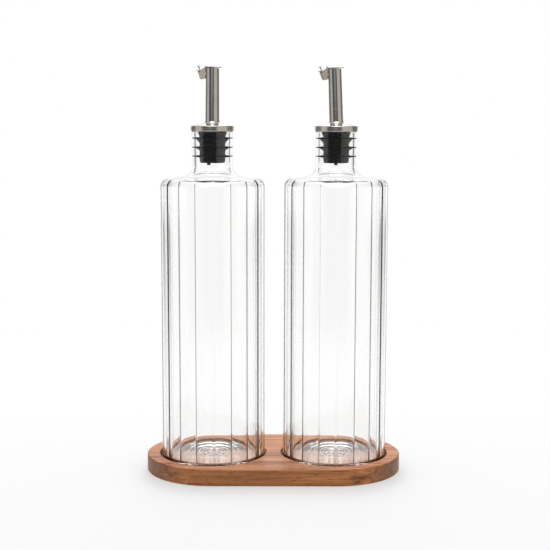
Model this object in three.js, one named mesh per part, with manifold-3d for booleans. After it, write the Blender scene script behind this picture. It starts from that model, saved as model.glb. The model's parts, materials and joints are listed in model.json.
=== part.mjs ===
// A cruet set: two fluted glass bottles with flip-top metal pourers, standing in a round-ended wooden tray.
// Millimetres, +Z up. The origin is the centre of the tray's underside. +X runs along the tray and -Y is its
// front.
import * as THREE from "three";
import { mergeVertices } from "three/addons/utils/BufferGeometryUtils.js";
import Module from "manifold-3d";

const wasm = await Module();
wasm.setup();

// Driving dimensions.
const TRAY = { width: 92, thickness: 11.5, edgeRadius: 0.8, recessRadius: 37.25, recessDepth: 5 };
const SPACING = 85; // between the two bottles' axes
const CLEARANCE = 0.15; // between pieces that touch or turn on each other
const BOTTLE = {
  radius: 36,
  height: 229, // base to lip
  cornerStart: 191.6, // where the side wall ends and the shoulder's corner begins
  cornerRadius: 5,
  shoulderSlope: THREE.MathUtils.degToRad(8.9),
  neckRadius: 14,
  neckFillet: 6,
  neckWall: 2.5, // also the shoulder's wall
  ribRadius: 30.6, // from the axis to the crest of an inside rib
  innerCorner: 2.2,
  floorHeight: 4.6,
  footRadius: 2.5,
  puntHeight: 1.6, // of the hollow under the base
  puntRadius: 29,
  floorRise: 1, // towards the middle of the floor
  lipRadius: 0.6,
};
const FLUTES = { count: 16, depth: 0.8, segmentsEach: 3 };
const STOPPER = {
  coreRadius: 8.8,
  finRadius: 11.25,
  finHalfThickness: 0.25,
  fins: [
    { z: -16.9, cone: 1.3 },
    { z: -10.9, cone: 2.6 },
    { z: -4.7, cone: 3.8 },
  ],
  bottom: -21.5,
  flareRadius: 10.4,
  flangeRadius: 13.9,
  rimGap: 0.2,
};
const CAP = { radius: 15, wall: 0.6, skirtBottom: -0.1, skirtTop: 3.15, domeTop: 5.55, domePower: 1.4 };
const SPOUT = {
  baseRadius: 4.85, // down to the end of its stem inside the stopper
  tipRadius: 4.6,
  wall: 0.48,
  stemBottom: -19.5,
  bend: 5, // height of the cap's top, where the spout may lean off the neck's axis
};
const AIR_TUBE = { radius: 1.2, bore: 0.75, offset: 2.6, bottom: -23.1, top: 39.2 };
const PIN = { radius: 0.5, hole: 0.62, halfLength: 4.1, back: -9.07, height: 40.15 };
const BRACKET = {
  earInner: 3.2,
  sheet: 0.5,
  back: 1.2, // behind the hinge pin
  backBottom: 0.75, // in front of the hinge pin
  prongTop: 4.22,
  prongRadius: 0.7,
  prongBack: 1.13, // behind the hinge pin
  webTop: -2,
  bottom: -5.05,
};
const LID = {
  sheet: 0.5,
  discRadius: 5.65,
  discCentre: 0.9,
  bend: -4.7, // where the arm begins to slope down to the pin
  armHalfWidth: 2.9,
  tail: -13.4,
  tailHeight: 0.55,
  tailCorner: 1,
  pivotRadius: 1.1,
};

// What differs between the two bottles. offset is how far a bottle stands from the middle of its recess. Turns
// are in degrees about the bottle's axis: a flute turn is counted from the front, a pour turn and an air turn
// from +X. mouth is the spout's height above its hinge pin.
const SETS = [
  {
    side: "left",
    x: -SPACING / 2,
    offset: 0.5,
    fluteTurn: 3.2,
    pourTurn: -43.5,
    airTurn: 180,
    lean: 0.5,
    mouth: 2.1,
  },
  {
    side: "right",
    x: SPACING / 2,
    offset: 0,
    fluteTurn: 0.6,
    pourTurn: -45,
    airTurn: 90,
    lean: -2.2,
    mouth: 1.65,
  },
];

const FINISH = {
  glass: { color: 0xf2f6f5, roughness: 0.03, metalness: 0, transparent: true, opacity: 0.35 },
  steel: { color: 0xb4afa7, roughness: 0.3, metalness: 1 },
  rubber: { color: 0x151515, roughness: 0.7, metalness: 0 },
  plastic: { color: 0x1c1c1c, roughness: 0.5, metalness: 0 },
  wood: { color: 0xa8714a, roughness: 0.6, metalness: 0 },
};

const radians = THREE.MathUtils.degToRad;
const ROUND = 32; // segments of a turned metal or rubber piece

// ---- Solids ----

// A closed geometry as a manifold-3d solid.
function solid(geometry) {
  const bare = new THREE.BufferGeometry().setAttribute("position", geometry.getAttribute("position"));
  if (geometry.index) bare.setIndex(geometry.index);
  const merged = mergeVertices(bare, 1e-4);
  return new wasm.Manifold(
    new wasm.Mesh({
      numProp: 3,
      vertProperties: merged.getAttribute("position").array,
      triVerts: new Uint32Array(merged.index.array),
    }),
  );
}

// A manifold-3d solid as a geometry.
function geometryOf(shape) {
  const mesh = shape.getMesh();
  return new THREE.BufferGeometry()
    .setAttribute("position", new THREE.BufferAttribute(Float32Array.from(mesh.vertProperties), 3))
    .setIndex(new THREE.BufferAttribute(Uint32Array.from(mesh.triVerts), 1));
}

// A profile of [radius, height] pairs turned about Z, its first segment at the front.
function turned(profile, segments = ROUND) {
  const points = profile.map(([r, z]) => new THREE.Vector2(r, z));
  return new THREE.LatheGeometry(points, segments).rotateX(Math.PI / 2);
}

// Points along an arc about [r, z], for a profile; angles in radians from the outward direction.
function arc(r, z, radius, from, to, steps) {
  return Array.from({ length: steps + 1 }, (_, i) => {
    const angle = from + ((to - from) * i) / steps;
    return [r + radius * Math.cos(angle), z + radius * Math.sin(angle)];
  });
}

// A solid round bar along Z.
function bar(bottom, bottomRadius, top, topRadius, segments = ROUND) {
  return turned([[0, bottom], [bottomRadius, bottom], [topRadius, top], [0, top]], segments);
}

// A flat outline in the plane of the pour direction and Z, as a sheet between two depths along the hinge axis.
function sheet(outline, from, to) {
  const shape = new THREE.Shape(outline.map(([u, w]) => new THREE.Vector2(u, w)));
  const geometry = new THREE.ExtrudeGeometry(shape, { depth: to - from, bevelEnabled: false });
  return geometry.rotateX(Math.PI / 2).translate(0, to, 0);
}

function mesh(name, geometry, finish) {
  const flat = geometry.index ? geometry.toNonIndexed() : geometry;
  flat.computeVertexNormals();
  const made = new THREE.Mesh(flat, new THREE.MeshStandardMaterial(FINISH[finish]));
  made.name = name;
  return made;
}

// ---- Tray ----

function tray() {
  const { width, thickness, edgeRadius, recessRadius, recessDepth } = TRAY;
  const outline = new THREE.Shape();
  outline.absarc(SPACING / 2, 0, width / 2, -Math.PI / 2, Math.PI / 2);
  outline.absarc(-SPACING / 2, 0, width / 2, Math.PI / 2, (3 * Math.PI) / 2);
  outline.closePath();
  const board = new THREE.ExtrudeGeometry(outline, {
    depth: thickness - 2 * edgeRadius,
    bevelThickness: edgeRadius,
    bevelSize: edgeRadius,
    bevelOffset: -edgeRadius,
    bevelSegments: 2,
    curveSegments: 24,
  }).translate(0, 0, edgeRadius);
  let shape = solid(board);
  for (const { x } of SETS) {
    const recess = bar(thickness - recessDepth, recessRadius, thickness + 1, recessRadius, 48);
    shape = shape.subtract(solid(recess.translate(x, 0, 0)));
  }
  return mesh("tray", geometryOf(shape), "wood");
}

// ---- Bottle ----

// The bottle's profile from the middle of its underside, up the outside, over the lip and down the inside.
// fluted holds the first and last index of the points that the flutes move.
function bottleProfile() {
  const b = BOTTLE;
  const slope = b.shoulderSlope;
  const rise = Math.tan(slope);
  const cornerEnd = [
    b.radius - b.cornerRadius + b.cornerRadius * Math.sin(slope),
    b.cornerStart + b.cornerRadius * Math.cos(slope),
  ];
  const shoulderAt = (r) => cornerEnd[1] + (cornerEnd[0] - r) * rise;
  const filletR = b.neckRadius + b.neckFillet;
  const filletZ = shoulderAt(filletR - b.neckFillet * Math.sin(slope)) + b.neckFillet * Math.cos(slope);
  const bore = b.neckRadius - b.neckWall;
  const lipZ = b.height - b.lipRadius;
  const foot = b.radius - b.footRadius;

  const outside = [
    ...[0, 0.5, 0.8, 1].map((share) => [b.puntRadius * share, b.puntHeight * (1 - share ** 3)]),
    ...arc(foot, b.footRadius, b.footRadius, -Math.PI / 2, 0, 4),
    ...arc(b.radius - b.cornerRadius, b.cornerStart, b.cornerRadius, 0, Math.PI / 2 - slope, 6),
    ...arc(filletR, filletZ, b.neckFillet, 1.5 * Math.PI - slope, Math.PI, 5),
  ];
  const lip = [
    ...arc(b.neckRadius - b.lipRadius, lipZ, b.lipRadius, 0, Math.PI / 2, 2),
    ...arc(bore + b.lipRadius, lipZ, b.lipRadius, Math.PI / 2, Math.PI, 2),
  ];
  const throat = arc(filletR, filletZ, b.neckFillet + b.neckWall, Math.PI, 1.5 * Math.PI - slope, 5);
  const innerR = b.ribRadius - b.innerCorner;
  const ceiling = shoulderAt(innerR) - (b.neckWall + b.innerCorner) / Math.cos(slope);
  const wall = [
    ...arc(innerR, ceiling, b.innerCorner, Math.PI / 2 - slope, 0, 4),
    ...arc(innerR, b.floorHeight + b.innerCorner, b.innerCorner, 0, -Math.PI / 2, 4),
  ];
  const floor = [[innerR / 2, b.floorHeight + b.floorRise / 2], [0, b.floorHeight + b.floorRise]];
  const start = outside.length + lip.length + throat.length;
  const points = [...outside, ...lip, ...throat, ...wall, ...floor];
  return { points, fluted: [start, start + wall.length - 1] };
}

// The inside wall is scalloped: hollow flutes meet in sharp ribs and fade out at the shoulder and the floor.
function bottle({ side, fluteTurn }) {
  const { points, fluted } = bottleProfile();
  const segments = FLUTES.count * FLUTES.segmentsEach;
  const geometry = turned(points, segments);
  const position = geometry.getAttribute("position");
  for (let turn = 0; turn <= segments; turn++) {
    const scallop = Math.abs(Math.sin((Math.PI * turn) / FLUTES.segmentsEach)) * FLUTES.depth;
    for (let j = fluted[0] + 1; j < fluted[1]; j++) {
      const i = turn * points.length + j;
      const share = (points[j][0] - points[fluted[0]][0]) / (BOTTLE.ribRadius - points[fluted[0]][0]);
      const stretch = 1 + (scallop * THREE.MathUtils.clamp(share, 0, 1)) / points[j][0];
      position.setXY(i, position.getX(i) * stretch, position.getY(i) * stretch);
    }
  }
  return mesh(`${side}_bottle`, geometry.rotateZ(radians(fluteTurn)), "glass");
}

// ---- Pourer: heights are from the bottle's lip ----

// The underside of the cap's dome, which the stopper's top follows at a small distance.
function domeUnderside(below) {
  const top = CAP.domeTop - CAP.wall - below;
  const edge = CAP.skirtTop - CAP.wall - below;
  const outer = CAP.radius - CAP.wall;
  return (r) => top - (top - edge) * ((r - SPOUT.baseRadius) / (outer - SPOUT.baseRadius)) ** CAP.domePower;
}

function stopper({ side }) {
  const s = STOPPER;
  const bore = SPOUT.baseRadius + 2 * CLEARANCE;
  const fins = s.fins.flatMap(({ z, cone }) => [
    [s.coreRadius, z - cone],
    [s.finRadius, z - s.finHalfThickness],
    [s.finRadius, z + s.finHalfThickness],
    [s.coreRadius, z + 0.9],
  ]);
  const under = domeUnderside(2 * CLEARANCE);
  const start = [bore, s.bottom];
  const profile = [
    start,
    [s.coreRadius - 0.9, s.bottom],
    [s.coreRadius - 0.2, s.bottom + 0.3],
    [s.coreRadius, s.bottom + 1],
    ...fins,
    [s.flareRadius, -0.3],
    [s.flareRadius, s.rimGap],
    [s.flangeRadius, s.rimGap],
    ...[s.flangeRadius, 11, 8].map((r) => [r, under(r)]),
    [bore, under(bore)],
    start,
  ];
  return mesh(`${side}_stopper`, turned(profile), "rubber");
}

function cap({ side }) {
  const c = CAP;
  const hole = SPOUT.baseRadius + CLEARANCE;
  const under = domeUnderside(0);
  const inner = c.radius - c.wall;
  const start = [inner, c.skirtBottom];
  const profile = [
    start,
    [c.radius - 0.2, c.skirtBottom],
    [c.radius, c.skirtBottom + 0.2],
    [c.radius, c.skirtTop],
    [c.radius - 0.4, c.skirtTop + 0.35],
    ...[12, 8.5].map((r) => [r, under(r) + c.wall]),
    [hole, c.domeTop],
    [hole, under(hole)],
    ...[8.5, 12].map((r) => [r, under(r)]),
    [inner, under(inner)],
    start,
  ];
  return mesh(`${side}_pourer_cap`, turned(profile), "steel");
}

// A hollow tube that is upright up to the bend and may lean above it, sunk by a little overlap into itself.
function bentTube({ bottom, bottomRadius, top, topRadius, wall, lean, x = 0, y = 0, segments }) {
  const leaning = (geometry) =>
    geometry.translate(x, y, -SPOUT.bend).rotateY(radians(lean)).translate(0, 0, SPOUT.bend);
  const pair = (shrink, extra) => {
    const lower = bar(bottom - extra, bottomRadius - shrink, SPOUT.bend, bottomRadius - shrink, segments);
    const upper = bar(SPOUT.bend - 0.2, bottomRadius - shrink, top + extra, topRadius - shrink, segments);
    return solid(lower.translate(x, y, 0)).add(solid(leaning(upper)));
  };
  return geometryOf(pair(0, 0).subtract(pair(wall, 1)));
}

function spoutTube({ side, lean, mouth }) {
  const tube = bentTube({
    bottom: SPOUT.stemBottom,
    bottomRadius: SPOUT.baseRadius,
    top: PIN.height + mouth,
    topRadius: SPOUT.tipRadius,
    wall: SPOUT.wall,
    lean,
    segments: ROUND,
  });
  return mesh(`${side}_spout_tube`, tube, "steel");
}

function airTube({ side, lean, airTurn }) {
  const tube = bentTube({
    bottom: AIR_TUBE.bottom,
    bottomRadius: AIR_TUBE.radius,
    top: AIR_TUBE.top,
    topRadius: AIR_TUBE.radius,
    wall: AIR_TUBE.radius - AIR_TUBE.bore,
    lean,
    x: AIR_TUBE.offset * Math.cos(radians(airTurn)),
    y: AIR_TUBE.offset * Math.sin(radians(airTurn)),
    segments: 12,
  });
  return mesh(`${side}_air_tube`, tube, "plastic");
}

// ---- Hinge and lid: u runs along the pour direction, v along the pin, heights are from the pin's axis ----

function pinBar(radius, halfLength, segments = 12) {
  const lying = bar(-halfLength, radius, halfLength, radius, segments).rotateX(Math.PI / 2);
  return solid(lying.translate(PIN.back, 0, 0));
}

// Two ears with upright prongs, joined by a sloping back plate that stops the opened lid's tail.
function hingeBracket({ side, mouth }) {
  const { earInner, sheet: thick, prongTop, prongRadius, webTop, bottom } = BRACKET;
  const back = PIN.back - BRACKET.back;
  const backBottom = PIN.back + BRACKET.backBottom;
  const weld = -2; // hidden inside the spout's wall until the spout is cut away
  const ear = [
    [weld, bottom],
    [backBottom + 0.5, bottom],
    [backBottom, bottom + 0.4],
    [back, 0],
    [back + 0.3, 0.8],
    ...arc(PIN.back - BRACKET.prongBack, prongTop - prongRadius, prongRadius, radians(193), radians(13), 6),
    [PIN.back + 0.65, 0.6],
    [-4.9, mouth - 0.25],
    [weld, mouth - 0.15],
  ];
  const backAt = (height) => back + ((backBottom - back) * height) / (bottom + 0.4);
  const webBottom = bottom + 0.6;
  const web = [
    [backAt(webTop), webTop],
    [backAt(webTop) + thick, webTop],
    [backAt(webBottom) + thick, webBottom],
    [backAt(webBottom), webBottom],
  ];
  const spoutRoom = bar(bottom - 1, SPOUT.baseRadius + CLEARANCE, mouth, SPOUT.tipRadius + CLEARANCE);
  const shape = solid(sheet(ear.toReversed(), earInner, earInner + thick))
    .add(solid(sheet(ear.toReversed(), -earInner - thick, -earInner)))
    .add(solid(sheet(web, -earInner - thick / 2, earInner + thick / 2)))
    .subtract(pinBar(PIN.hole, PIN.halfLength + 1))
    .subtract(solid(spoutRoom));
  return mesh(`${side}_hinge_bracket`, geometryOf(shape), "steel");
}

function hingePin({ side }) {
  return mesh(`${side}_hinge_pin`, geometryOf(pinBar(PIN.radius, PIN.halfLength)), "steel");
}

// A bent sheet: a disc over the mouth, an arm sloping down to the pin, a tail behind it and two pivot ears.
function flipLid({ side, mouth }) {
  const { sheet: thick, discRadius, discCentre, armHalfWidth, pivotRadius } = LID;
  const { tail, tailHeight, tailCorner: corner } = LID;
  const low = mouth + CLEARANCE;
  const front = discCentre + discRadius + 1;
  const bent = [
    [front, low],
    [front, low + thick],
    [LID.bend + 0.1, low + thick],
    [PIN.back, tailHeight + thick],
    [tail, tailHeight + thick],
    [tail, tailHeight],
    [PIN.back - 0.2, tailHeight],
    [LID.bend - 0.1, low],
  ];
  const arm = new THREE.Shape();
  arm.moveTo(discCentre, -armHalfWidth);
  arm.lineTo(discCentre, armHalfWidth);
  arm.lineTo(tail + corner, armHalfWidth);
  arm.lineTo(tail, armHalfWidth - corner);
  arm.lineTo(tail, corner - armHalfWidth);
  arm.lineTo(tail + corner, -armHalfWidth);
  arm.closePath();
  const reach = 5; // above and below the sheet
  const armBlock = new THREE.ExtrudeGeometry(arm, { depth: 2 * reach, bevelEnabled: false });
  const armPlan = armBlock.translate(0, 0, -reach);
  const discPlan = bar(-reach, discRadius, reach, discRadius).translate(discCentre, 0, 0);
  const pivot = [
    ...arc(PIN.back, 0, pivotRadius, radians(180), radians(360), 8),
    [PIN.back + pivotRadius, 1.15],
    [PIN.back - pivotRadius, 0.8],
  ];
  const earOuter = armHalfWidth - 0.05;
  const shape = solid(sheet(bent, -discRadius - 1, discRadius + 1))
    .intersect(solid(armPlan).add(solid(discPlan)))
    .add(solid(sheet(pivot, earOuter - thick, earOuter)))
    .add(solid(sheet(pivot, -earOuter, thick - earOuter)))
    .subtract(pinBar(PIN.hole, PIN.halfLength));
  return mesh(`${side}_flip_lid`, geometryOf(shape), "steel");
}

// ---- Assembly ----

function pourer(set) {
  const group = new THREE.Group();
  group.add(stopper(set), cap(set), spoutTube(set), airTube(set));
  const tilt = new THREE.Group();
  tilt.position.z = SPOUT.bend;
  tilt.rotation.y = radians(set.lean);
  const head = new THREE.Group();
  head.position.z = PIN.height - SPOUT.bend;
  head.rotation.z = radians(set.pourTurn);
  head.add(hingeBracket(set), hingePin(set), flipLid(set));
  tilt.add(head);
  group.add(tilt);
  return group;
}

const cruetSet = new THREE.Group();
cruetSet.add(tray());
for (const set of SETS) {
  const stand = new THREE.Group();
  stand.position.set(set.x + set.offset, 0, TRAY.thickness - TRAY.recessDepth + CLEARANCE);
  const pouring = pourer(set);
  pouring.position.z = BOTTLE.height;
  stand.add(bottle(set), pouring);
  cruetSet.add(stand);
}

export default cruetSet;
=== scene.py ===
import json
import math

import bmesh
import bpy
from mathutils import Matrix, Vector


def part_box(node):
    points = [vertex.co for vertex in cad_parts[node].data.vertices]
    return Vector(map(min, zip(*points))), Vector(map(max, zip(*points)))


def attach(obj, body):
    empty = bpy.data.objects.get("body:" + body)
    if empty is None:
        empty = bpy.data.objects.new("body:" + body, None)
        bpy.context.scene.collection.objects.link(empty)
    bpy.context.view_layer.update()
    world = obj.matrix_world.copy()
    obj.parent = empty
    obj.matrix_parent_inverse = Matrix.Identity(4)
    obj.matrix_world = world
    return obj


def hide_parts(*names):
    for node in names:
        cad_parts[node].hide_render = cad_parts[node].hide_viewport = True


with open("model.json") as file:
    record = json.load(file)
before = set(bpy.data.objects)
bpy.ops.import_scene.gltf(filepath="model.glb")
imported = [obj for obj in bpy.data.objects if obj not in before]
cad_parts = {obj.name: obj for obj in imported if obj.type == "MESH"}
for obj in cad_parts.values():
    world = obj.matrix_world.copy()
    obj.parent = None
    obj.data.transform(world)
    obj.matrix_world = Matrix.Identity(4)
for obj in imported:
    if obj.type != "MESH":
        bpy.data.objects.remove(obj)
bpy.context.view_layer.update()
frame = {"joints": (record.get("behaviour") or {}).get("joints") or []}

MM = 0.001
SIDES = ("left", "right")

# Glass.
NECK_RADIUS = 14.0
NECK_WALL = 2.5
NECK_FILLET = 6.0
SHOULDER_BELOW_LIP = 37.4  # where the side wall ends and the shoulder's corner begins
SHOULDER_CORNER = 5.0
SHOULDER_SLOPE = math.radians(8.9)
FLUTE_COUNT = 16
FLUTE_TURN = {"left": 3.2, "right": 0.6}  # degrees from the front
WALL = 4.6  # between two ribs
RIB_HEIGHT = 0.36
RIB_HALF_WIDTH = 0.72
SCALLOP = 0.46
RIB_RADIUS = 30.7  # roughly, to turn widths on the wall into angles
FLOOR_HEIGHT = 4.6
INNER_CORNER = 1.0
CEILING_CORNER = 1.5
FOOT_RADIUS = 2.5
PUNT_HEIGHT = 1.9
SEAT_RADIUS = 29.0  # of the ring that the bottle stands on

# Tray.
RECESS_RADIUS = 37.25
RECESS_CLEARANCE = 0.15  # under the bottle

# Pourer: heights are from the bottle's lip.
BEND = 5.0  # where the spout may lean off the neck's axis
LEAN = {"left": 0.5, "right": -2.2}  # degrees
SHEET = 0.5
TUBE_WALL = 0.48
EAR_INNER = 3.2
ARM_HALF_WIDTH = 2.9
PIN_RADIUS = 0.5
PIN_HALF_LENGTH = 4.1
PIN_HOLE_RADIUS = 0.6
AIR_TUBE_RADIUS = 1.2
AIR_TUBE_TOP = 39.2
AIR_TUBE_OFFSET = 2.6  # from the neck's axis
AIR_TUBE_TURN = {"left": 180, "right": 90}  # degrees from the right, towards the back

# Studio: lengths are in metres.
CAMERA_PLACE = (0.0007, -0.8101, 0.2407)
CAMERA_DIP = 7.31  # degrees
CAMERA_ROLL = -0.11  # degrees
CAMERA_LENS = 77.18
TABLE_RADIUS = 0.62
SOFTBOX_PLACE = (0, 2.7, 1.1)
SOFTBOX_AIM = (0, 0, 0.02)
SOFTBOX_SIZE = 1.6
SOFTBOX_POWER = 62
BOUNCES = 28  # enough to see through all the walls of a bottle


# ---- Outlines and profiles ----


def arc(x, y, radius, start, end, steps):
    """Points on an arc about (x, y), with its two angles in degrees."""
    turns = [math.radians(start + (end - start) * i / steps) for i in range(steps + 1)]
    return [(x + radius * math.cos(t), y + radius * math.sin(t)) for t in turns]


def rounded(points, steps=4):
    """A closed outline of (x, y, corner radius) points with its corners rounded."""
    outline = []
    for i, (x, y, radius) in enumerate(points):
        corner = Vector((x, y))
        before = (Vector(points[i - 1][:2]) - corner).normalized()
        after = (Vector(points[(i + 1) % len(points)][:2]) - corner).normalized()
        half = math.acos(max(-1, min(1, before.dot(after)))) / 2
        if radius == 0 or half > math.radians(89):
            outline.append((x, y))
            continue
        reach = radius / math.tan(half)
        start, end = corner + before * reach, corner + after * reach
        middle = corner + (before + after).normalized() * (radius / math.sin(half))
        for step in range(steps + 1):
            spoke = (start - middle).slerp(end - middle, step / steps)
            outline.append(tuple(middle + spoke))
    return outline


# ---- Meshes ----


def piece(name, points, faces, material, place, sharp=35):
    """A named piece from points in millimetres, placed by a matrix, smooth except over its sharp edges."""
    mesh = bpy.data.meshes.new(name)
    mesh.from_pydata([place @ (Vector(p) * MM) for p in points], [], faces)
    bm = bmesh.new()
    bm.from_mesh(mesh)
    bmesh.ops.remove_doubles(bm, verts=bm.verts, dist=1e-7)
    bmesh.ops.recalc_face_normals(bm, faces=bm.faces)
    bm.to_mesh(mesh)
    bm.free()
    mesh.shade_smooth()
    mesh.set_sharp_from_angle(angle=math.radians(sharp))
    mesh.materials.append(material)
    made = bpy.data.objects.new(name, mesh)
    bpy.context.scene.collection.objects.link(made)
    return made


def level_normals(made):
    """Keeps the shading of flat and straight parts flat up to the roundings beside them."""
    made.modifiers.new("normals", "WEIGHTED_NORMAL").keep_sharp = True


def full_turn(segments):
    return [2 * math.pi * i / segments for i in range(segments)]


def revolve(profile, angles, reach=None):
    """Points and faces of (radius, height) pairs turned about Z. The profile runs from the axis to the axis,
    or is a closed loop. reach(index, angle) adds to the radius of a profile point."""
    points, rings = [], []
    for index, (radius, height) in enumerate(profile):
        if radius == 0:
            rings.append([len(points)] * len(angles))
            points.append((0, 0, height))
            continue
        rings.append(range(len(points), len(points) + len(angles)))
        for angle in angles:
            r = radius + (reach(index, angle) if reach else 0)
            points.append((r * math.sin(angle), -r * math.cos(angle), height))
    if profile[0][0] > 0:
        rings.append(rings[0])
    return points, strips(rings)


def strips(rings, closed=True):
    """Faces between each ring of point numbers and the next."""
    faces = []
    for low, high in zip(rings, rings[1:]):
        count = len(low)
        for i in range(count if closed else count - 1):
            j = (i + 1) % count
            corners = list(dict.fromkeys((low[i], low[j], high[j], high[i])))
            if len(corners) > 2:
                faces.append(corners)
    return faces


def slab(outline, low, high):
    """Points and faces of an outline in the XZ plane, as a slab between two depths along Y."""
    count = len(outline)
    points = [(x, y, z) for y in (low, high) for x, z in outline]
    faces = strips([range(count), range(count, 2 * count)])
    return points, faces + [list(range(count)), list(range(2 * count - 1, count - 1, -1))]


def united(target, *others):
    """Joins other pieces to the target's solid and removes them."""
    for other in others:
        join = target.modifiers.new("join", "BOOLEAN")
        join.operation = "UNION"
        join.solver = "EXACT"
        join.object = other
    return applied(target, *others)


def drilled(target, *drills):
    """Cuts other pieces out of the target's solid and removes them."""
    for drill in drills:
        cut = target.modifiers.new("cut", "BOOLEAN")
        cut.operation = "DIFFERENCE"
        cut.solver = "EXACT"
        cut.object = drill
    return applied(target, *drills)


def applied(target, *used):
    """Applies the target's modifiers and removes the pieces that they used."""
    depsgraph = bpy.context.evaluated_depsgraph_get()
    mesh = bpy.data.meshes.new_from_object(target.evaluated_get(depsgraph))
    target.modifiers.clear()
    target.data = mesh
    for other in used:
        bpy.data.objects.remove(other)
    return target


def eased(target, width):
    """Rounds the sharp edges of a sheet-metal or wooden piece."""
    bevel = target.modifiers.new("ease", "BEVEL")
    bevel.width = width * MM
    bevel.segments = 2
    bevel.limit_method = "ANGLE"
    bevel.angle_limit = math.radians(40)
    return applied(target)


def finished(made, body, slot, *nodes):
    """Puts a piece on its body, in the place of its CAD nodes."""
    level_normals(made)
    applied(made)
    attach(made, body)
    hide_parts(*nodes)


# ---- Materials ----


def add(tree, kind, inputs=None, **settings):
    """A shader node with its settings, and its inputs as values or as sockets to link."""
    made = tree.nodes.new(kind)
    for key, value in settings.items():
        setattr(made, key, value)
    for key, value in (inputs or {}).items():
        if isinstance(value, bpy.types.NodeSocket):
            tree.links.new(value, made.inputs[key])
        else:
            made.inputs[key].default_value = value
    return made


def ramp(tree, factor, *stops):
    """A colour ramp over a factor, from (position, (r, g, b)) stops."""
    made = add(tree, "ShaderNodeValToRGB", {"Fac": factor})
    elements = made.color_ramp.elements
    while len(elements) < len(stops):
        elements.new(0.5)
    for element, (position, colour) in zip(elements, stops):
        element.position = position
        element.color = (*colour, 1)
    return made.outputs["Color"]


def span(tree, value, low, high, from_low=0.3, from_high=0.7):
    """A value's stretch from from_low to from_high, as one from low to high."""
    inputs = {"Value": value, "From Min": from_low, "From Max": from_high, "To Min": low, "To Max": high}
    return add(tree, "ShaderNodeMapRange", inputs).outputs["Result"]


def maths(tree, operation, a, b=0.0):
    return add(tree, "ShaderNodeMath", {0: a, 1: b}, operation=operation).outputs["Value"]


def place(tree):
    """The place in the shared frame, in metres: every piece's object sits at the origin at rest."""
    return add(tree, "ShaderNodeTexCoord").outputs["Object"]


def stretched(tree, scale, offset=(0, 0, 0)):
    """The place, scaled along each axis and shifted."""
    inputs = {"Vector": place(tree), "Scale": scale, "Location": offset}
    return add(tree, "ShaderNodeMapping", inputs).outputs["Vector"]


def noise(tree, vector, detail=3.0, roughness=0.5, distortion=0.0):
    inputs = {"Vector": vector, "Scale": 1.0, "Detail": detail}
    inputs |= {"Roughness": roughness, "Distortion": distortion}
    return add(tree, "ShaderNodeTexNoise", inputs).outputs["Fac"]


def bump(tree, height, depth, strength):
    """A bump of some depth in millimetres."""
    inputs = {"Height": height, "Distance": depth * MM, "Strength": strength}
    return add(tree, "ShaderNodeBump", inputs).outputs["Normal"]


def mixed(tree, factor, a, b, blend="MIX"):
    inputs = {0: factor, 6: a, 7: b}
    return add(tree, "ShaderNodeMix", inputs, data_type="RGBA", blend_type=blend).outputs[2]


def surface(name, build):
    """A material whose build function takes the node tree and gives the Principled shader's inputs."""
    material = bpy.data.materials.new(name)
    material.use_nodes = True
    tree = material.node_tree
    shader = tree.nodes["Principled BSDF"]
    for key, value in build(tree).items():
        if isinstance(value, bpy.types.NodeSocket):
            tree.links.new(value, shader.inputs[key])
        else:
            shader.inputs[key].default_value = value
    return material


def wood(tree):
    """Oiled hardwood with its grain along X: wavy darker streaks, fine pores and faint glued joints between
    its strips. The top is painted paler, as painted light from above, and the end grain is darker."""
    strip_width = 0.019
    glue_line = 0.00018
    streaks = noise(tree, stretched(tree, (8, 170, 230)), detail=4, roughness=0.6, distortion=1.1)
    fibres = noise(tree, stretched(tree, (26, 700, 700)), detail=3, roughness=0.6)
    clouds = noise(tree, stretched(tree, (14, 40, 60), (3, 1, 0)), detail=2)
    pores = noise(tree, stretched(tree, (190, 1900, 1900)), detail=1, roughness=0.4)

    figure = ramp(
        tree,
        streaks,
        (0.36, (0.18, 0.056, 0.015)),
        (0.45, (0.38, 0.132, 0.035)),
        (0.54, (0.5, 0.187, 0.053)),
        (0.64, (0.64, 0.252, 0.075)),
    )
    clouded = mixed(tree, span(tree, clouds, 0.0, 0.35, 0.4, 0.68), figure, (0.24, 0.09, 0.03, 1))
    facing = add(tree, "ShaderNodeTexCoord").outputs["Normal"]
    normal = add(tree, "ShaderNodeSeparateXYZ", {0: facing}).outputs
    # Painted light: faces that look up are painted paler, as if lit from above.
    up = span(tree, normal["Z"], 0.0, 1.0, 0.3, 0.9)
    painted_top_light = mixed(tree, up, clouded, (1.25, 1.24, 1.22, 1), "MULTIPLY")
    end = maths(tree, "ABSOLUTE", normal["X"])
    shaded = mixed(tree, span(tree, end, 0.0, 0.7, 0.3, 0.85), painted_top_light, (0.13, 0.052, 0.02, 1))
    lines = ramp(tree, fibres, (0.3, (0.5, 0.44, 0.4)), (0.62, (1, 1, 1)))
    fibred = mixed(tree, 0.4, shaded, lines, "MULTIPLY")
    pored = mixed(tree, span(tree, pores, 0.62, 0.0, 0.28, 0.42), fibred, (0.09, 0.04, 0.018, 1))

    across = add(tree, "ShaderNodeSeparateXYZ", {0: place(tree)}).outputs["Y"]
    shifted = maths(tree, "ADD", across, strip_width / 2)
    from_joint = maths(tree, "PINGPONG", shifted, strip_width / 2)
    joint = maths(tree, "LESS_THAN", from_joint, glue_line)
    faint = maths(tree, "MULTIPLY", joint, 0.5)
    jointed = mixed(tree, faint, pored, (0.16, 0.075, 0.035, 1))

    relief = maths(tree, "ADD", maths(tree, "MULTIPLY", fibres, 0.6), maths(tree, "MULTIPLY", pores, 0.4))
    return {
        "Base Color": jointed,
        "Roughness": span(tree, fibres, 0.5, 0.38),
        "Specular IOR Level": 0.4,
        "Normal": bump(tree, relief, 0.16, 0.55),
    }


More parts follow.
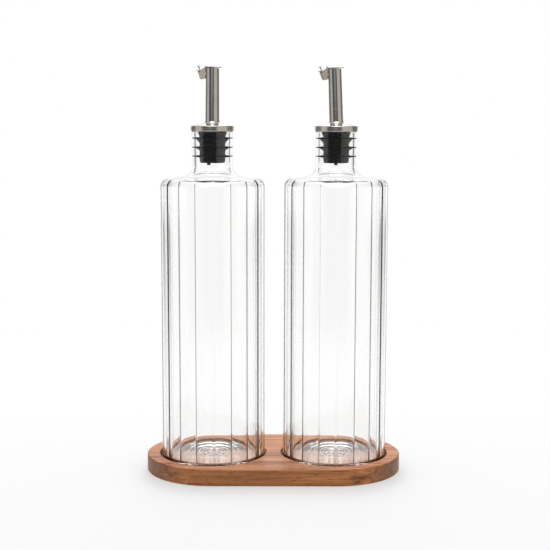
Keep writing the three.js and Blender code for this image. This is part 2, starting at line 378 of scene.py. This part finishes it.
def steel(scale, base, shade=1.0):
    """Satin stainless steel of some base roughness, brushed along the axis with the smallest scale. A shade
    below one darkens its colour as painted shade.
    """

    dull = [level * shade for level in (0.57, 0.55, 0.52)]
    bright = [level * shade for level in (0.65, 0.63, 0.6)]
    unevenness = 0.03

    def build(tree):
        brushing = noise(tree, stretched(tree, scale), detail=3, roughness=0.65)
        smears = noise(tree, stretched(tree, (160, 160, 160)), detail=2)
        tone = ramp(tree, smears, (0.3, dull), (0.7, bright))
        brushed = span(tree, brushing, -0.03, 0.05)
        smeared = span(tree, smears, base - unevenness, base + unevenness)
        return {
            "Base Color": tone,
            "Metallic": 1.0,
            "Roughness": maths(tree, "ADD", brushed, smeared),
            "Normal": bump(tree, brushing, 0.003, 0.4),
        }

    return build


def rubber(tree):
    """Black moulded rubber with a fine dusty bloom."""
    skin = noise(tree, stretched(tree, (900, 900, 900)), detail=2)
    bloom = noise(tree, stretched(tree, (150, 150, 60)), detail=3)
    return {
        "Base Color": ramp(tree, bloom, (0.35, (0.003, 0.003, 0.003)), (0.75, (0.008, 0.008, 0.008))),
        "Roughness": span(tree, bloom, 0.45, 0.6),
        "Specular IOR Level": 0.15,
        "Normal": bump(tree, skin, 0.015, 0.5),
    }


def plastic(tree):
    """Black extruded tube with faint lengthwise lines."""
    lines = noise(tree, stretched(tree, (1200, 1200, 30)), detail=2)
    return {
        "Base Color": ramp(tree, lines, (0.3, (0.008, 0.008, 0.009)), (0.7, (0.022, 0.022, 0.023))),
        "Roughness": span(tree, lines, 0.3, 0.42),
        "Normal": bump(tree, lines, 0.01, 0.4),
    }


def glass(tree):
    """Clear pressed glass with a slight waviness left by the mould."""
    waves = noise(tree, stretched(tree, (45, 45, 14)), detail=1)
    marks = noise(tree, stretched(tree, (420, 420, 260)), detail=2)
    return {
        "Base Color": ramp(tree, waves, (0.3, (0.985, 0.99, 0.988)), (0.7, (0.995, 0.995, 0.992))),
        "Roughness": span(tree, marks, 0.0, 0.006, 0.45, 0.8),
        "IOR": 1.5,
        "Transmission Weight": 1.0,
        "Normal": bump(tree, waves, 0.04, 0.25),
    }


def lets_light_through(material, tint):
    """Glass bends what is seen through it, and lets light fall through it onto what it holds or stands on."""
    tree = material.node_tree
    shader = tree.nodes["Principled BSDF"].outputs["BSDF"]
    path = add(tree, "ShaderNodeLightPath").outputs
    light = maths(tree, "MAXIMUM", path["Is Shadow Ray"], path["Is Diffuse Ray"])
    clear = add(tree, "ShaderNodeBsdfTransparent", {"Color": (tint, tint, tint, 1)}).outputs["BSDF"]
    mix = add(tree, "ShaderNodeMixShader", {0: light, 1: shader, 2: clear}).outputs["Shader"]
    tree.links.new(mix, tree.nodes["Material Output"].inputs["Surface"])
    return material


WOOD = surface("oiled_wood", wood)
GLASS = lets_light_through(surface("pressed_glass", glass), 0.97)
RUBBER = surface("black_rubber", rubber)
PLASTIC = surface("black_tube", plastic)
TURNED_STEEL = surface("turned_steel", steel((90, 90, 2600), 0.19))
DRAWN_STEEL = surface("drawn_steel", steel((2400, 2400, 40), 0.13))
SHEET_STEEL = surface("sheet_steel", steel((500, 500, 900), 0.24))
# Painted shade: the pin's steel is darkened to a third, standing in for the shade in its hole.
SHADED_PIN_STEEL = surface("shaded_pin_steel", steel((900, 900, 900), 0.3, 0.3))


# ---- Tray ----


def stadium(half_length, radius, steps=48):
    """A round-ended outline about the origin, whose arcs keep their centres as the radius changes."""
    return arc(half_length, 0, radius, -90, 90, steps) + arc(-half_length, 0, radius, 90, 270, steps)


def quarter(steps):
    return [math.pi / 2 * i / steps for i in range(steps + 1)]


def tray():
    """A board with eased edges all round, and a round recess for each bottle."""
    low, high = (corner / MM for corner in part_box("tray"))
    half_width = high.y
    centre = high.x - half_width
    thickness = high.z
    ease = 0.9
    recess = RECESS_RADIUS
    recess_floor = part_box("left_bottle")[0].z / MM - RECESS_CLEARANCE
    bm = bmesh.new()

    def ring(outline, height):
        verts = [bm.verts.new((x, y, height)) for x, y in outline]
        return [bm.edges.new((verts[i - 1], verts[i])) for i in range(len(verts))]

    def walls(rings):
        for near, far in zip(rings, rings[1:]):
            bmesh.ops.bridge_loops(bm, edges=near + far)

    edge = arc(-ease, -ease, ease, 0, 90, 6)
    section = [(-x, -y) for x, y in reversed(edge)] + [(-x, thickness + y) for x, y in edge]
    sides = [ring(stadium(centre, half_width - inset), height) for inset, height in section]
    walls(sides)
    bmesh.ops.triangle_fill(bm, edges=sides[0], use_beauty=True)

    lip = 0.5
    foot = 0.6
    segments = 96
    last = 360 - 360 / segments
    rims = []
    for x in (-centre, centre):
        rim = [(recess + lip - lip * math.sin(t), thickness - lip + lip * math.cos(t)) for t in quarter(5)]
        corner = [
            (recess - foot + foot * math.cos(t), recess_floor + foot - foot * math.sin(t))
            for t in quarter(5)
        ]
        rings = [ring(arc(x, 0, radius, 0, last, segments - 1), height) for radius, height in rim + corner]
        walls(rings)
        bmesh.ops.triangle_fill(bm, edges=rings[-1], use_beauty=True)
        rims += rings[0]
    bmesh.ops.triangle_fill(bm, edges=sides[-1] + rims, use_beauty=True)

    bmesh.ops.recalc_face_normals(bm, faces=bm.faces)
    bm.verts.index_update()
    points = [tuple(v.co) for v in bm.verts]
    faces = [[v.index for v in face.verts] for face in bm.faces]
    bm.free()
    made = piece("tray_board", points, faces, WOOD, Matrix.Identity(4), sharp=50)
    finished(made, "tray", "wood", "tray")


# ---- Bottle ----


def flute_angles():
    """Angles about the bottle, close together over each rib and further apart between ribs."""
    pitch = 2 * math.pi / FLUTE_COUNT
    over_rib = [d / RIB_RADIUS for d in (0, 0.16, 0.32, 0.48, 0.64, 0.8, 1.0, 1.3, 1.8)]
    half = over_rib + [pitch / 2 * share for share in (0.45, 0.6, 0.8)]
    one = [-a for a in reversed(half[1:])] + half + [pitch / 2]
    return [pitch * k + a for k in range(FLUTE_COUNT) for a in one]


def rib_rise(angle):
    """How far the inside wall stands in from the deepest line of a flute."""
    pitch = 2 * math.pi / FLUTE_COUNT
    off = abs((angle + pitch / 2) % pitch - pitch / 2)
    ridge = RIB_HEIGHT * math.exp(-((off * RIB_RADIUS / RIB_HALF_WIDTH) ** 2))
    hollow = SCALLOP * (1 - math.sin(math.pi * off / pitch))
    return ridge + hollow


def ripple(radius, reach, height, pitch):
    """Rings left by the mould, fading out at their reach."""
    fade = max(0, 1 - (radius / reach) ** 2)
    return height * fade * math.cos(2 * math.pi * radius / pitch)


def bottle_profile(radius, height):
    """The profile from the middle of the underside, over the lip and down to the middle of the floor,
    and the share of the ribs that each point takes."""
    rise = math.tan(SHOULDER_SLOPE)
    degrees = math.degrees(SHOULDER_SLOPE)
    corner_start = height - SHOULDER_BELOW_LIP
    corner_radius = radius - SHOULDER_CORNER
    corner_end = (
        corner_radius + SHOULDER_CORNER * math.sin(SHOULDER_SLOPE),
        corner_start + SHOULDER_CORNER * math.cos(SHOULDER_SLOPE),
    )

    def shoulder(r):
        return corner_end[1] + (corner_end[0] - r) * rise

    fillet_radius = NECK_RADIUS + NECK_FILLET
    fillet_height = shoulder(fillet_radius - NECK_FILLET * math.sin(SHOULDER_SLOPE))
    fillet_height += NECK_FILLET * math.cos(SHOULDER_SLOPE)
    bore = NECK_RADIUS - NECK_WALL
    lip = 0.9
    seat = SEAT_RADIUS
    outside = [(r, PUNT_HEIGHT * (1 - (r / seat) ** 2) + ripple(r, 19, 0.16, 4.6)) for r in range(29)]
    outside += [(seat, 0)] + arc(radius - FOOT_RADIUS, FOOT_RADIUS, FOOT_RADIUS, -90, 0, 8)
    outside += [(radius, corner_start * share) for share in (0.25, 0.5, 0.75)]
    outside += arc(corner_radius, corner_start, SHOULDER_CORNER, 0, 90 - degrees, 12)
    outside += arc(fillet_radius, fillet_height, NECK_FILLET, 270 - degrees, 180, 10)
    outside += arc(NECK_RADIUS - lip, height - lip, lip, 0, 90, 5)
    outside += arc(bore + lip, height - lip, lip, 90, 180, 5)
    outside += arc(fillet_radius, fillet_height, NECK_FILLET + NECK_WALL, 180, 270 - degrees, 12)

    deepest = radius - WALL
    inner = deepest - INNER_CORNER
    upper = deepest - CEILING_CORNER
    ceiling = shoulder(upper) - (NECK_WALL + CEILING_CORNER) / math.cos(SHOULDER_SLOPE)
    floor = FLOOR_HEIGHT + INNER_CORNER
    wall = arc(upper, ceiling, CEILING_CORNER, 90 - degrees, 0, 8)
    wall += [(deepest, floor + (ceiling - floor) * share) for share in (0.75, 0.5, 0.25)]
    foot = arc(inner, floor, INNER_CORNER, 0, -90, 8)
    crown = 1.1
    bed = [
        (r, FLOOR_HEIGHT + crown * (1 - (r / inner) ** 2) + ripple(r, 17, 0.2, 5.4))
        for r in range(28, -1, -1)
    ]

    shares = [0.0] * len(outside)
    shares += [min(1, max(0, (r - upper) / CEILING_CORNER)) ** 0.5 for r, _ in wall]
    shares += [max(0, (r - inner) / INNER_CORNER) ** 0.6 for r, _ in foot]
    shares += [0.0] * len(bed)
    return outside + wall + foot + bed, shares


def bottle(side):
    """A glass bottle whose flutes are pressed into the inside wall only."""
    low, high = (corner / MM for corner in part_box(f"{side}_bottle"))
    profile, shares = bottle_profile((high.x - low.x) / 2, high.z - low.z)

    def reach(index, angle):
        return -shares[index] * rib_rise(angle)

    points, faces = revolve(profile, flute_angles(), reach)
    stand = Matrix.Translation(Vector(((low.x + high.x) / 2, 0, low.z)) * MM)
    turn = Matrix.Rotation(math.radians(FLUTE_TURN[side]), 4, "Z")
    made = piece(f"{side}_bottle_glass", points, faces, GLASS, stand @ turn, sharp=60)
    finished(made, f"{side}_bottle", "glass", f"{side}_bottle")


# ---- Pourer ----


def lip_place(side):
    """The middle of the bottle's lip."""
    low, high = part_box(f"{side}_bottle")
    return Matrix.Translation(((low.x + high.x) / 2, 0, high.z))


def leaning_place(side):
    """The same, with the lean of the spout above its bend."""
    bend = Matrix.Translation((0, 0, BEND * MM))
    lean = Matrix.Rotation(math.radians(LEAN[side]), 4, "Y")
    return lip_place(side) @ bend @ lean @ bend.inverted()


def hinge(side):
    """The hinge pin's joint in the frame."""
    return next(j for j in frame["joints"] if j["name"] == f"{side}_lid_swing")


def hinge_place(side):
    """A place at the middle of the hinge pin: X along the pour, Y along the pin, Z along the spout."""
    joint = hinge(side)
    along = -Vector(joint["axis"]).normalized()
    up = (leaning_place(side).to_3x3() @ Vector((0, 0, 1))).normalized()
    pour = along.cross(up).normalized()
    turned = Matrix((pour, along, up)).transposed().to_4x4()
    return Matrix.Translation(joint["pos_m"]) @ turned


def pin_point(side):
    """The middle of the hinge pin in the leaning spout's place, in millimetres."""
    return leaning_place(side).inverted() @ Vector(hinge(side)["pos_m"]) / MM


def spout_distance(side):
    """How far the pin lies behind the spout's axis, and how far the mouth stands above the pin."""
    to_pin = pin_point(side)
    low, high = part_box(f"{side}_spout_tube")
    mouth = leaning_place(side).inverted() @ Vector(((low.x + high.x) / 2, 0, high.z)) / MM
    return math.hypot(to_pin.x, to_pin.y), mouth.z - to_pin.z


def cap_dome(r, below=0.0):
    """The height of the cap's dome over a radius: level at the spout and steeper towards the rim."""
    level_radius, reach, top, fall = 4.9, 9.5, 5.5, 1.95
    share = max(0, (r - level_radius) / reach)
    return top - fall * share**1.4 - below


def cap(side):
    """A pressed shell that covers the lip, with its weld to the spout."""
    bottom, shoulder, radius, wall = -0.1, 3.15, 15.0, 0.6
    tube, fillet = 5.0, 1.5
    outer = [(radius - 0.1, bottom)] + arc(radius - 0.35, bottom + 0.4, 0.35, -60, 0, 3)
    outer += arc(radius - 0.55, shoulder - 0.05, 0.55, 0, 62, 5)
    outer += [(r, cap_dome(r)) for r in (13.6, 12.6, 11.5, 10.3, 9, 7.8, 6.9)]
    weld = arc(tube + fillet, cap_dome(tube + fillet) + fillet, fillet, -90, -176, 10)
    inner = [(tube - 0.03, weld[-1][1]), (tube - 0.03, cap_dome(tube, wall))]
    inner += [(r, cap_dome(r, wall)) for r in (6.5, 8, 9.5, 11, 12.5, 13.6)]
    inner += [(radius - wall, shoulder - wall), (radius - wall, bottom)]
    points, faces = revolve(outer + weld + inner, full_turn(192))
    made = piece(f"{side}_cap_shell", points, faces, TURNED_STEEL, lip_place(side), sharp=50)
    finished(made, f"{side}_pourer", "steel", f"{side}_pourer_cap")


def stopper(side):
    """A moulded plug with three sealing fins, a flange on the lip and a bore for the spout."""
    core, fin, land, bore = 8.8, 11.53, 0.3, 5.15
    edge = 0.15
    bottom = -21.5
    fins = []
    for height, cone in ((-16.9, 1.3), (-10.9, 2.6), (-4.7, 3.8)):
        fins += [(core, height - cone), (core + 0.5, height - cone * 0.72), (fin - 0.3, height - 0.55)]
        fins += arc(fin - edge, height - land, edge, -60, 0, 3)
        fins += arc(fin - edge, height + land, edge, 0, 70, 3)
        fins += [(core + 0.8, height + 0.62), (core, height + 0.95)]
    flare = [(9.0, -3.4), (9.6, -1.9), (10.25, -0.9), (10.4, -0.2), (10.4, 0.15)]
    flange = [(13.9, 0.15), (13.9, 2.0), (11, 3.4), (8, 4.2), (bore, 4.4)]
    profile = [(bore, bottom)] + arc(core - 1.1, bottom + 0.9, 0.9, -90, 0, 5) + [(core, bottom + 2)]
    profile += fins + flare + flange
    points, faces = revolve(profile, full_turn(96))
    made = piece(f"{side}_stopper_rubber", points, faces, RUBBER, lip_place(side), sharp=38)
    finished(made, f"{side}_stopper", "rubber", f"{side}_stopper")


def bent_tube(side, bottom, bottom_radius, top, top_radius, wall, segments, x=0.0, y=0.0):
    """Points and faces of an open tube that is upright to the bend and may lean above it."""
    lip, leaning = lip_place(side), leaning_place(side)
    ease = min(0.12, wall / 3)
    outside = [(bottom_radius - ease, bottom), (bottom_radius, bottom + ease), (bottom_radius, BEND)]
    outside += [(top_radius, top - ease), (top_radius - ease, top)]
    inside = [(top_radius - wall + ease, top), (top_radius - wall, top - ease)]
    inside += [(bottom_radius - wall, BEND), (bottom_radius - wall, bottom)]
    points, faces = revolve(outside + inside, full_turn(segments))
    moved = []
    for point in points:
        over = Vector(point) + Vector((x, y, 0))
        placed = leaning if over.z > BEND else lip
        moved.append(lip.inverted() @ placed @ (over * MM) / MM)
    return moved, faces


def spout_tube(side):
    """A slightly tapered tube from inside the stopper to the mouth."""
    _, mouth = spout_distance(side)
    top = pin_point(side).z + mouth
    bottom, bottom_radius, top_radius = -19.5, 4.85, 4.6
    points, faces = bent_tube(side, bottom, bottom_radius, top, top_radius, TUBE_WALL, 192)
    made = piece(f"{side}_spout_steel", points, faces, DRAWN_STEEL, lip_place(side), sharp=50)
    finished(made, f"{side}_pourer", "steel", f"{side}_spout_tube")


def air_tube(side):
    """A thin tube beside the flow, from under the stopper up into the spout."""
    low, high = (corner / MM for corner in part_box(f"{side}_air_tube"))
    bottom = low.z - (lip_place(side).translation / MM).z
    turn = math.radians(AIR_TUBE_TURN[side])
    x, y = AIR_TUBE_OFFSET * math.cos(turn), AIR_TUBE_OFFSET * math.sin(turn)
    radius, wall = AIR_TUBE_RADIUS, 0.45
    points, faces = bent_tube(side, bottom, radius, AIR_TUBE_TOP, radius, wall, 32, x, y)
    made = piece(f"{side}_air_tube_plastic", points, faces, PLASTIC, lip_place(side), sharp=50)
    finished(made, f"{side}_pourer", "plastic", f"{side}_air_tube")


def bar(name, half_length, radius, material, placed):
    """A round bar along Y about its middle, with eased ends."""
    start, end = -half_length, half_length
    ease = radius * 0.3
    profile = [(0, start), (radius - ease, start), (radius, start + ease)]
    profile += [(radius, end - ease), (radius - ease, end), (0, end)]
    points, faces = revolve(profile, full_turn(32))
    lying = [(x, z, -y) for x, y, z in points]
    return piece(name, lying, faces, material, placed, sharp=50)


def hinge_bracket(side):
    """Two ears with upright prongs and a sloping plate between their backs, welded behind the mouth."""
    spout, mouth = spout_distance(side)
    bottom, prong_top, prong = -5.05, 4.2, 0.68
    back, back_bottom, weld = -1.2, 0.75, spout - 3.2
    outline = [(weld, bottom, 0), (back_bottom + 0.1, bottom, 0.7), (back, 0, 0.5), (back + 0.32, 0.9, 0.4)]
    ear = rounded(outline)
    ear += arc(-1.13, prong_top - prong, prong, 190, 12, 10)
    ear += [(0.62, 0.75), (spout - 4.4, mouth - 0.25), (weld, mouth - 0.2)]

    def back_at(height):
        return back + (back_bottom - back) * height / bottom

    web = [(-2.0, 0.03), (-2.0, SHEET), (bottom + 0.6, SHEET), (bottom + 0.6, 0.03)]
    plate = [(back_at(height) + inset, height) for height, inset in web]
    placed = hinge_place(side)
    name = f"{side}_bracket_sheet"
    near = piece(name, *slab(ear, -EAR_INNER - SHEET, -EAR_INNER), SHEET_STEEL, placed)
    far = piece("far_ear", *slab(ear, EAR_INNER, EAR_INNER + SHEET), SHEET_STEEL, placed)
    between = piece("web", *slab(plate, -EAR_INNER - SHEET / 2, EAR_INNER + SHEET / 2), SHEET_STEEL, placed)
    made = united(near, between, far)
    axis = placed @ Matrix.Translation((spout * MM, 0, 0))
    room = [(0, bottom - 1), (5.02, bottom - 1), (4.7, mouth + 1), (0, mouth + 1)]
    spout_room = piece("spout_room", *revolve(room, full_turn(64)), SHEET_STEEL, axis)
    pin_hole = bar("pin_hole", 6, PIN_HOLE_RADIUS, SHEET_STEEL, placed)
    made = eased(drilled(made, spout_room, pin_hole), 0.09)
    finished(made, f"{side}_pourer", "steel", f"{side}_hinge_bracket")


def hinge_pin(side):
    made = bar(f"{side}_shaded_pin_steel", PIN_HALF_LENGTH, PIN_RADIUS, SHADED_PIN_STEEL, hinge_place(side))
    finished(made, f"{side}_pourer", "steel", f"{side}_hinge_pin")


def flip_lid(side):
    """A bent sheet with a slightly domed disc over the mouth, and two ears that turn on the pin."""
    spout, mouth = spout_distance(side)
    centre, radius, tail, low_end = spout + 0.9, 5.65, -4.33, 0.58
    rest = mouth + 0.16
    arm_end = spout - 4.7

    def half_width(u):
        disc = math.sqrt(max(0, radius**2 - (u - centre) ** 2))
        corner = ARM_HALF_WIDTH - max(0, tail + 1 - u) ** 2 if u < centre else 0
        return max(disc, corner)

    def height(u):
        share = max(0, min(1, u / arm_end))
        eased_share = share * share * (3 - 2 * share) * 0.25 + share * 0.75
        dome = 0.22 * max(0, 1 - ((u - centre) / radius) ** 2)
        return low_end + (rest - low_end) * eased_share + dome

    arm_steps, disc_steps = 22, 40
    along = [tail + (centre - radius - tail) * i / arm_steps for i in range(arm_steps)]
    along += [centre - radius * math.cos(math.pi * i / disc_steps) for i in range(disc_steps)]
    along += [centre + radius - 0.01]
    across = [-1 + i / 6 for i in range(13)]
    rings = []
    points = []
    for u in along:
        upper = [(u, v * half_width(u), height(u) + SHEET) for v in across]
        lower = [(u, v * half_width(u), height(u)) for v in reversed(across)]
        rings.append(range(len(points), len(points) + 2 * len(across)))
        points += upper + lower
    faces = strips(rings) + [list(rings[0])[::-1], list(rings[-1])]
    name = f"{side}_lid_sheet"
    placed = hinge_place(side)
    made = piece(name, points, faces, SHEET_STEEL, placed)

    pivot = arc(0, 0, 1.1, 180, 360, 12) + [(1.1, 1.0), (-1.1, 0.75)]
    outer = ARM_HALF_WIDTH - 0.05
    ears = [
        piece("near_pivot", *slab(pivot, -outer, SHEET - outer), SHEET_STEEL, placed),
        piece("far_pivot", *slab(pivot, outer - SHEET, outer), SHEET_STEEL, placed),
    ]
    pin_hole = bar("pin_hole", 6, PIN_HOLE_RADIUS, SHEET_STEEL, placed)
    made = eased(drilled(united(made, *ears), pin_hole), 0.08)
    finished(made, f"{side}_lid", "steel", f"{side}_flip_lid")


# ---- Studio ----


def floor():
    """A white table top that fades out at its rim, so that no edge of it can be seen."""
    mesh = bpy.data.meshes.new("table_top")
    radius = TABLE_RADIUS
    outline = [(radius * math.cos(t), radius * math.sin(t), 0) for t in full_turn(96)]
    mesh.from_pydata(outline, [], [range(len(outline))])
    material = surface(
        "white_table",
        lambda tree: {
            "Base Color": (0.52, 0.52, 0.52, 1),
            "Roughness": 1.0,
            "Specular IOR Level": 0.0,
            "Emission Color": (1, 1, 1, 1),
            "Emission Strength": 0.42,
        },
    )
    tree = material.node_tree
    shader = tree.nodes["Principled BSDF"].outputs["BSDF"]
    out = add(tree, "ShaderNodeVectorMath", {0: place(tree)}, operation="LENGTH").outputs["Value"]
    fade = span(tree, out, 0.0, 1.0, 0.3, radius)
    clear = add(tree, "ShaderNodeBsdfTransparent").outputs["BSDF"]
    mix = add(tree, "ShaderNodeMixShader", {0: fade, 1: shader, 2: clear}).outputs["Shader"]
    tree.links.new(mix, tree.nodes["Material Output"].inputs["Surface"])
    mesh.materials.append(material)
    made = bpy.data.objects.new("table_top", mesh)
    bpy.context.scene.collection.objects.link(made)


def studio_world():
    """White to the camera, and to matt surfaces a plain light that grows towards the back. What mirrors or
    bends light meets a white backdrop, warm panels at both sides, a dim room with a bluish window behind the
    camera, and dark gaps between them. Mirrors also meet bright lights overhead."""
    world = bpy.data.worlds.new("studio")
    world.use_nodes = True
    tree = world.node_tree
    direction = add(tree, "ShaderNodeTexCoord").outputs["Generated"]
    split = add(tree, "ShaderNodeSeparateXYZ", {0: direction}).outputs
    azimuth = maths(tree, "ARCTAN2", split["X"], maths(tree, "MULTIPLY", split["Y"], -1.0))
    turn = span(tree, azimuth, 0.0, 1.0, -math.pi, math.pi)
    white, dim = (1, 1, 1), (0.1, 0.1, 0.11)
    warm, cool = (0.62, 0.585, 0.54), (0.42, 0.46, 0.51)

    def panels(backdrop, gap):
        """The view round about, with a backdrop that reaches so many degrees to both sides."""
        edge = 180 - backdrop
        stops = (
            (-180, white),
            (-edge, white),
            (-edge + 12, gap),
            (-100, gap),
            (-94, warm),
            (-56, warm),
            (-50, dim),
            (24, dim),
            (30, warm),
            (86, warm),
            (93, gap),
            (edge - 12, gap),
            (edge, white),
            (180, white),
        )
        return ramp(tree, turn, *((0.5 + degrees / 360, colour) for degrees, colour in stops))

    path = add(tree, "ShaderNodeLightPath").outputs
    seen_through = panels(52, (0.3, 0.28, 0.26))
    reflected = panels(34, (0.2, 0.18, 0.165))
    around = mixed(tree, path["Is Glossy Ray"], seen_through, reflected)
    off_window = maths(tree, "ABSOLUTE", maths(tree, "ADD", azimuth, math.radians(7)))
    window = span(tree, off_window, 1.0, 0.0, math.radians(9), math.radians(16))
    lit = maths(tree, "MULTIPLY", window, span(tree, split["Z"], 0.0, 1.0, 0.0, 0.055))
    round_about = mixed(tree, lit, around, (*cool, 1))
    low = span(tree, split["Z"], 1.0, 0.0, -0.27, -0.13)
    overhead = span(tree, split["Z"], 0.0, 0.25, 0.75, 0.92)
    sideways = maths(tree, "ABSOLUTE", split["X"])
    off_strip = maths(tree, "SUBTRACT", sideways, span(tree, split["Y"], 0.3, 0.0, -0.1, 0.1))
    on_strip = span(tree, off_strip, 1.0, 0.0, 0.05, 0.16)
    strip = maths(tree, "MULTIPLY", on_strip, span(tree, split["Z"], 0.0, 1.0, 0.3, 0.42))
    high = maths(tree, "MULTIPLY", maths(tree, "MAXIMUM", overhead, strip), path["Is Glossy Ray"])
    lowered = mixed(tree, low, round_about, (0.9, 0.9, 0.9, 1))
    mirrored = mixed(tree, high, lowered, (2.3, 2.3, 2.3, 1))
    matt = span(tree, split["Y"], 0.62, 1.05, -0.8, 0.8)
    lifted = mixed(tree, 1.0, mirrored, (1.07, 1.07, 1.07, 1), "MULTIPLY")
    seen = mixed(tree, path["Is Diffuse Ray"], lifted, matt)
    colour = mixed(tree, path["Is Camera Ray"], seen, (1, 1, 1, 1))
    background = tree.nodes["Background"]
    tree.links.new(colour, background.inputs["Color"])
    bpy.context.scene.world = world


def flags():
    """Dark cards just outside the view at both sides, which glow as painted light, more low down and at the
    top.
    They show only in what is seen through glass."""

    def card(tree):
        height = add(tree, "ShaderNodeSeparateXYZ", {0: place(tree)}).outputs["Z"]
        low = span(tree, height, 0.65, 0.13, 0.04, 0.13)
        high = span(tree, height, 0.26, 0.9, 0.145, 0.165)
        return {
            "Base Color": (0.03, 0.024, 0.02, 1),
            "Specular IOR Level": 0.0,
            "Emission Color": (1, 1, 1, 1),
            # Painted light: the cards glow by their emission, more low down and at the top.
            "Emission Strength": maths(tree, "ADD", low, high),
        }

    black = surface("black_card", card)
    for side in (-1, 1):
        mesh = bpy.data.meshes.new("black_card")
        near, far = (side * 0.2, -0.05), (side * 0.37, 0.46)
        top = 0.2
        mesh.from_pydata([(*near, 0.0), (*far, 0.0), (*far, top), (*near, top)], [], [range(4)])
        mesh.materials.append(black)
        made = bpy.data.objects.new("black_card", mesh)
        made.visible_camera = made.visible_diffuse = made.visible_glossy = made.visible_shadow = False
        bpy.context.scene.collection.objects.link(made)


def lamp(name, place, aim, size, power):
    """A square soft lamp that looks at a point."""
    light = bpy.data.lights.new(name, "AREA")
    light.size = size
    light.energy = power
    made = bpy.data.objects.new(name, light)
    made.location = place
    made.rotation_euler = (Vector(aim) - Vector(place)).to_track_quat("-Z", "Y").to_euler()
    made.visible_glossy = made.visible_transmission = False
    bpy.context.scene.collection.objects.link(made)


def camera():
    data = bpy.data.cameras.new("camera")
    data.sensor_width = 36
    data.lens = CAMERA_LENS
    data.clip_start = 0.01
    made = bpy.data.objects.new("camera", data)
    made.location = CAMERA_PLACE
    made.rotation_euler = (math.radians(90 - CAMERA_DIP), math.radians(CAMERA_ROLL), 0)
    bpy.context.scene.collection.objects.link(made)
    bpy.context.scene.camera = made


camera()
tray()
for side in SIDES:
    bottle(side)
    stopper(side)
    cap(side)
    spout_tube(side)
    air_tube(side)
    hinge_bracket(side)
    hinge_pin(side)
    flip_lid(side)

floor()
flags()
studio_world()
lamp("softbox_behind", SOFTBOX_PLACE, SOFTBOX_AIM, SOFTBOX_SIZE, SOFTBOX_POWER)

scene = bpy.context.scene
scene.view_settings.view_transform = "Standard"
scene.cycles.use_denoising = True
scene.cycles.max_bounces = BOUNCES
scene.cycles.transmission_bounces = BOUNCES
scene.cycles.transparent_max_bounces = BOUNCES
